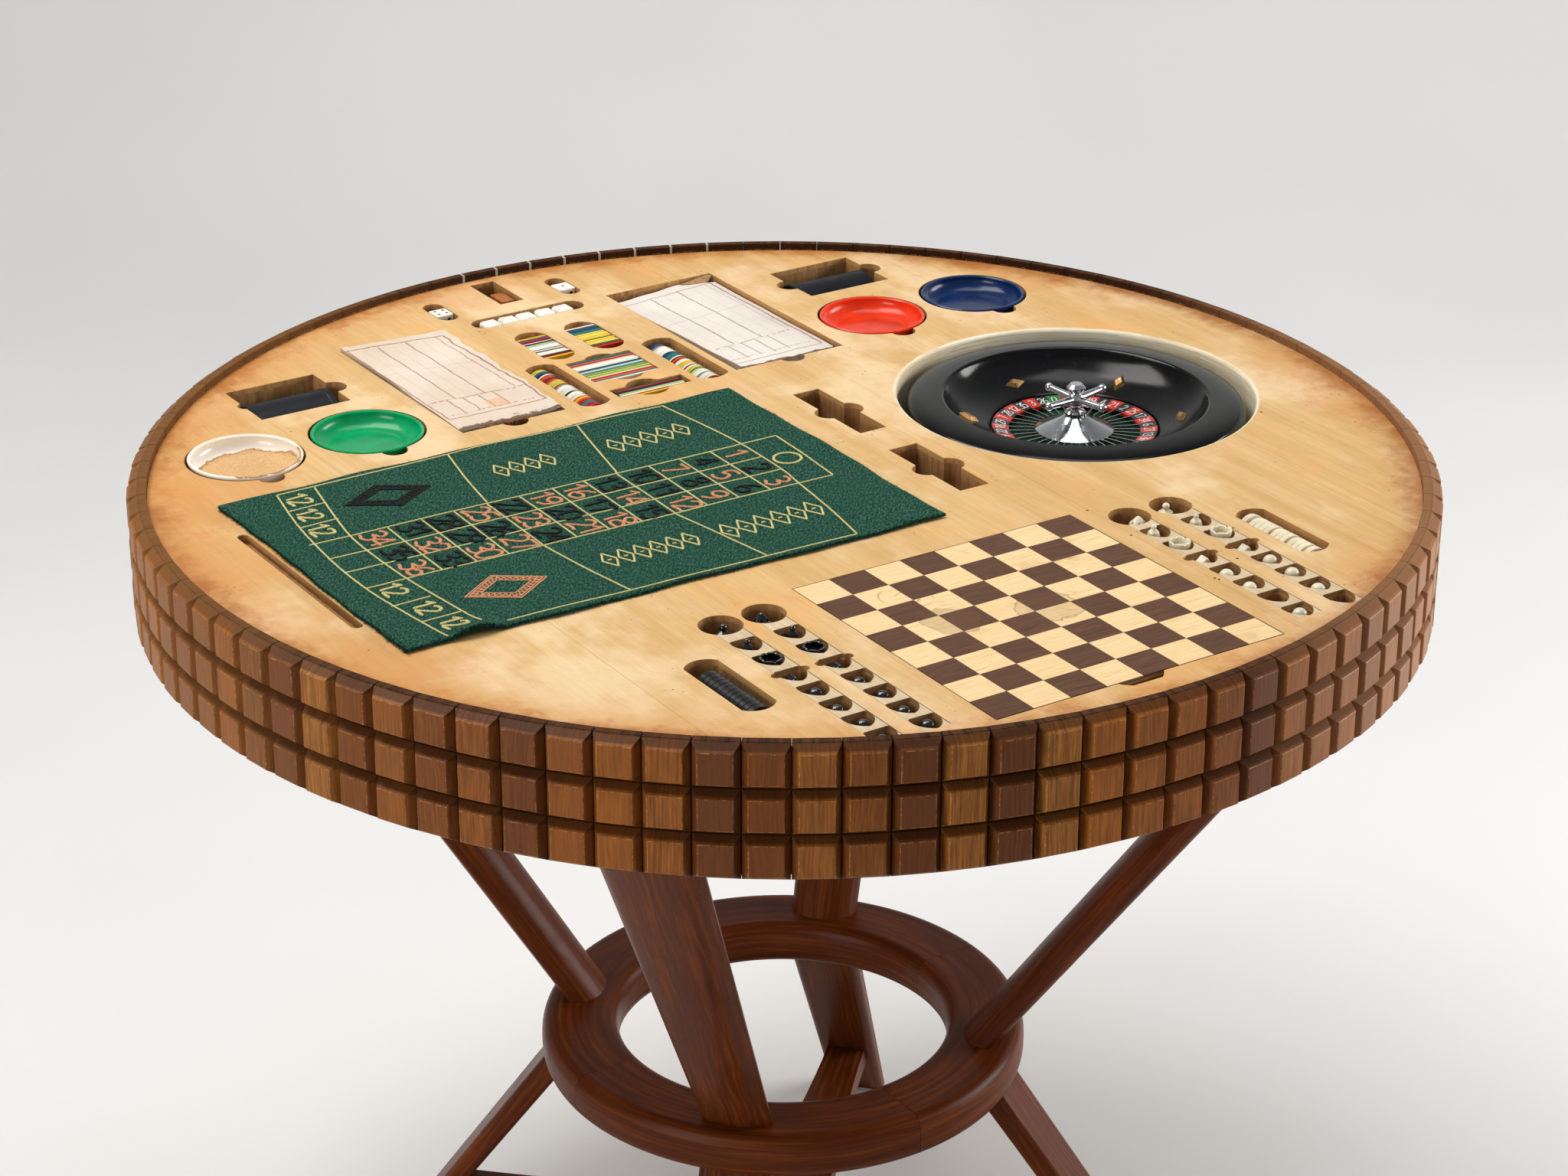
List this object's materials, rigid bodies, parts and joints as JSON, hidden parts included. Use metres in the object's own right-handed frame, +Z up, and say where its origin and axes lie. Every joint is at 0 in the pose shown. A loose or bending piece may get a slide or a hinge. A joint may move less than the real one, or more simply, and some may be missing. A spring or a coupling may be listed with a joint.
{
  "type": "games table",
  "caption": "Round games table: pocketed birch top with lift-out games gear and an inset roulette wheel, carved boss rim, splayed legs crossing a ring.",
  "frame": {"origin": "on the floor under the centre of the round top", "axes": "+Z up; +X from the layout cloth towards the roulette well; -Y towards the chessboard side"},
  "size_m": [0.9775, 0.9768, 0.761],
  "materials": {
    "birch_core": "birch core seen on the pocket walls",
    "birch_top": "pale birch facing, worn satin lacquer, stained near the rim",
    "black_lacquer": "black lacquer, worn satin gloss",
    "block_wood": "orange-brown stained",
    "brass": "rubbed brass",
    "chip_mix": "thin moulded counters in mixed colours",
    "chrome": "bright chrome, lightly pitted",
    "cup_black": "blue-black covered card",
    "die_white": "white, rounded",
    "dish_blue": "blue moulded",
    "dish_green": "green moulded",
    "dish_red": "red moulded",
    "dish_white": "cream moulded, stained inside",
    "enamel_black": "black enamel",
    "enamel_green": "green enamel",
    "enamel_red": "red enamel",
    "felt_green": "green woollen cloth, frayed edge, stitched layout",
    "inlay_grey": "greyish inlaid strip between the chess compartments",
    "leg_wood": "red-brown stained beech, satin",
    "men_black": "black, polished",
    "men_ivory": "ivory white, aged",
    "pale_well": "whitish wood lining, rubbed",
    "paper": "white score paper with ruled lines, curled",
    "pip_black": "black paint",
    "plywood": "plain plywood, unfinished",
    "pocket_green": "dark green lining",
    "rim_wood": "carved red-brown bosses, satin lacquer, each stave a little different",
    "square_dark": "walnut veneer, satin",
    "square_light": "maple veneer, satin",
    "steel": "bright steel"
  },
  "bodies": {
    "table": {"top_sheet": "birch_top", "top_core": "birch_core", "chess_strips": "inlay_grey", "rim_hoop": "plywood", "rim_staves": "rim_wood", "bottom_board": "plywood", "well_boxes": "birch_core", "wheel_well": "pale_well", "leg_blocks": "plywood", "upper_legs": "leg_wood", "leg_ring": "leg_wood", "ring_splines": "plywood", "ring_plugs": "leg_wood", "lower_legs": "leg_wood", "stretchers": "leg_wood"},
    "chessboard": {"board_base": "plywood", "board_light": "square_light", "board_dark": "square_dark"},
    "black_chessmen": {"chessmen_black": "men_black"},
    "white_chessmen": {"chessmen_white": "men_ivory"},
    "black_draughts": {"draughts_black": "men_black"},
    "white_draughts": {"draughts_white": "men_ivory"},
    "cloth": {"layout_cloth": "felt_green"},
    "score_pad_left": {"pad_left": "paper"},
    "score_pad_right": {"pad_right": "paper"},
    "cup_left": {"dice_cup_left": "cup_black"},
    "cup_right": {"dice_cup_right": "cup_black"},
    "white_dish": {"dish_white": "dish_white"},
    "green_dish": {"dish_green": "dish_green"},
    "red_dish": {"dish_red": "dish_red"},
    "blue_dish": {"dish_blue": "dish_blue"},
    "chips_left": {"chips_back_left": "chip_mix", "chips_row_left": "chip_mix"},
    "chips_right": {"chips_back_right": "chip_mix", "chips_row_right": "chip_mix"},
    "plaques": {"plaques_centre": "chip_mix", "plaques_front": "chip_mix"},
    "poker_dice_set": {"poker_dice": "die_white"},
    "dice": {"dice_pair": "die_white", "dice_pips": "pip_black"},
    "block": {"wood_block": "block_wood"},
    "bowl": {"roulette_bowl": "black_lacquer", "deflectors": "brass", "wheel_spindle": "steel"},
    "rotor": {"rotor_bush": "brass", "rotor_disc": "enamel_black", "pocket_floor": "pocket_green", "ring_red": "enamel_red", "ring_black": "enamel_black", "ring_green": "enamel_green", "rotor_frets": "steel", "rotor_cone": "chrome", "turret_cross": "chrome"}
  },
  "joints": [
    {"name": "chessboard_lift", "type": "slide", "parent": "table", "child": "chessboard", "axis": [0, 0, 1], "range_m": [0, 0.05]},
    {"name": "black_chessmen_lift", "type": "slide", "parent": "table", "child": "black_chessmen", "axis": [0, 0, 1], "range_m": [0, 0.07]},
    {"name": "white_chessmen_lift", "type": "slide", "parent": "table", "child": "white_chessmen", "axis": [0, 0, 1], "range_m": [0, 0.07]},
    {"name": "black_draughts_lift", "type": "slide", "parent": "table", "child": "black_draughts", "axis": [0, 0, 1], "range_m": [0, 0.06]},
    {"name": "white_draughts_lift", "type": "slide", "parent": "table", "child": "white_draughts", "axis": [0, 0, 1], "range_m": [0, 0.06]},
    {"name": "cloth_lift", "type": "slide", "parent": "table", "child": "cloth", "axis": [0, 0, 1], "range_m": [0, 0.05]},
    {"name": "score_pad_left_lift", "type": "slide", "parent": "table", "child": "score_pad_left", "axis": [0, 0, 1], "range_m": [0, 0.05]},
    {"name": "score_pad_right_lift", "type": "slide", "parent": "table", "child": "score_pad_right", "axis": [0, 0, 1], "range_m": [0, 0.05]},
    {"name": "cup_left_lift", "type": "slide", "parent": "table", "child": "cup_left", "axis": [0, 0, 1], "range_m": [0, 0.1]},
    {"name": "cup_right_lift", "type": "slide", "parent": "table", "child": "cup_right", "axis": [0, 0, 1], "range_m": [0, 0.1]},
    {"name": "white_dish_lift", "type": "slide", "parent": "table", "child": "white_dish", "axis": [0, 0, 1], "range_m": [0, 0.06]},
    {"name": "green_dish_lift", "type": "slide", "parent": "table", "child": "green_dish", "axis": [0, 0, 1], "range_m": [0, 0.06]},
    {"name": "red_dish_lift", "type": "slide", "parent": "table", "child": "red_dish", "axis": [0, 0, 1], "range_m": [0, 0.06]},
    {"name": "blue_dish_lift", "type": "slide", "parent": "table", "child": "blue_dish", "axis": [0, 0, 1], "range_m": [0, 0.06]},
    {"name": "chips_left_lift", "type": "slide", "parent": "table", "child": "chips_left", "axis": [0, 0, 1], "range_m": [0, 0.06]},
    {"name": "chips_right_lift", "type": "slide", "parent": "table", "child": "chips_right", "axis": [0, 0, 1], "range_m": [0, 0.06]},
    {"name": "plaques_lift", "type": "slide", "parent": "table", "child": "plaques", "axis": [0, 0, 1], "range_m": [0, 0.06]},
    {"name": "poker_dice_set_lift", "type": "slide", "parent": "table", "child": "poker_dice_set", "axis": [0, 0, 1], "range_m": [0, 0.05]},
    {"name": "dice_lift", "type": "slide", "parent": "table", "child": "dice", "axis": [0, 0, 1], "range_m": [0, 0.05]},
    {"name": "block_lift", "type": "slide", "parent": "table", "child": "block", "axis": [0, 0, 1], "range_m": [0, 0.07]},
    {"name": "bowl_lift", "type": "slide", "parent": "table", "child": "bowl", "axis": [0, 0, 1], "range_m": [0, 0.11]},
    {"name": "rotor_spin", "type": "hinge", "parent": "bowl", "child": "rotor", "pos_m": [0.2686, -0.0067, 0.724], "axis": [0, 0, 1], "continuous": true}
  ]
}
